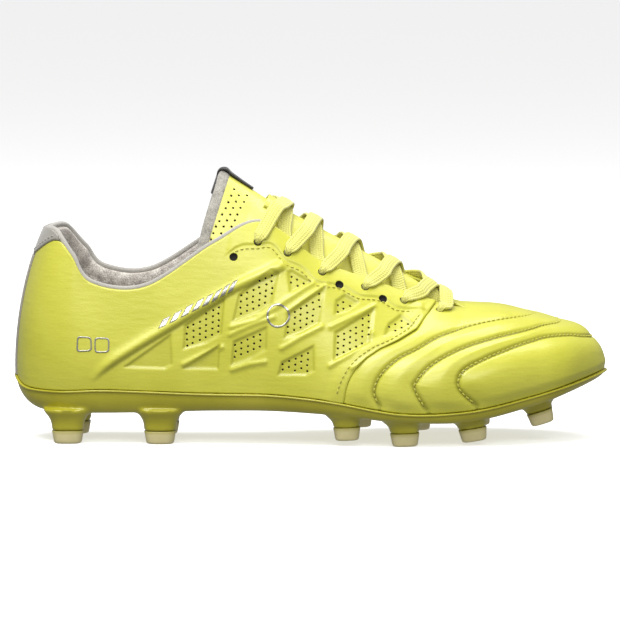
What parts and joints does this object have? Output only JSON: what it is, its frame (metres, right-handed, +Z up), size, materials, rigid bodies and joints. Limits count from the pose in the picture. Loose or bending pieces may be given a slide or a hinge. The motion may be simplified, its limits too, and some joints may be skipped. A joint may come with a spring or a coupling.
{
  "type": "football boot",
  "caption": "Low-cut firm-ground football boot with leather upper, padded collar, laced tongue and moulded studded sole plate.",
  "frame": {"origin": "on the ground, under the middle of the boot's box", "axes": "+X to the toe, +Z up, -Y the outer side of a right boot"},
  "size_m": [0.2882, 0.0972, 0.1323],
  "materials": {
    "leather": "soft full-grain leather, semi-matt",
    "sole_plate": "moulded TPU, glossy, slightly translucent",
    "stud_tip": "clear frosted TPU",
    "felt": "brushed microfibre lining",
    "lining": "woven textile lining",
    "sockliner": "textile-topped foam",
    "board": "nonwoven lasting board",
    "foam": "closed-cell foam",
    "stiffener": "resin-stiffened nonwoven",
    "label": "woven tape",
    "lace": "flat woven polyester lace",
    "lace_tip": "clear lace tip"
  },
  "bodies": {
    "root": {"backstay": "felt", "collar_foam": "foam", "eyestay_lateral": "stiffener", "eyestay_medial": "stiffener", "heel_counter": "stiffener", "heel_lining": "felt", "heel_tab": "felt", "heel_wedge": "foam", "insole_board": "board", "lace": "lace", "lace_tip_lateral": "lace_tip", "lace_tip_medial": "lace_tip", "outsole_plate": "sole_plate", "quarter_lateral": "leather", "quarter_lining_lateral": "lining", "quarter_lining_medial": "lining", "quarter_medial": "leather", "stud_tip_ball_lateral": "stud_tip", "stud_tip_ball_medial": "stud_tip", "stud_tip_front_lateral": "stud_tip", "stud_tip_front_medial": "stud_tip", "stud_tip_heel_back_lateral": "stud_tip", "stud_tip_heel_back_medial": "stud_tip", "stud_tip_heel_front_lateral": "stud_tip", "stud_tip_heel_front_medial": "stud_tip", "stud_tip_toe_lateral": "stud_tip", "stud_tip_toe_medial": "stud_tip", "stud_tip_waist_lateral": "stud_tip", "stud_tip_waist_medial": "stud_tip", "toe_puff": "stiffener", "topline_piping": "felt", "vamp": "leather", "vamp_lining": "lining"},
    "tongue": {"tongue": "leather", "tongue_lining": "lining", "tongue_binding": "felt", "tongue_label": "label"},
    "sockliner": {"sockliner": "sockliner"}
  },
  "joints": [
    {"name": "tongue_swing", "type": "hinge", "parent": "root", "child": "tongue", "pos_m": [0.0712, 0, 0.0577], "axis": [0, -1, 0], "range_deg": [0, 12]},
    {"name": "sockliner_lift", "type": "hinge", "parent": "root", "child": "sockliner", "pos_m": [0.1334, 0, 0.036], "axis": [0, 1, 0], "range_deg": [0, 6]}
  ]
}
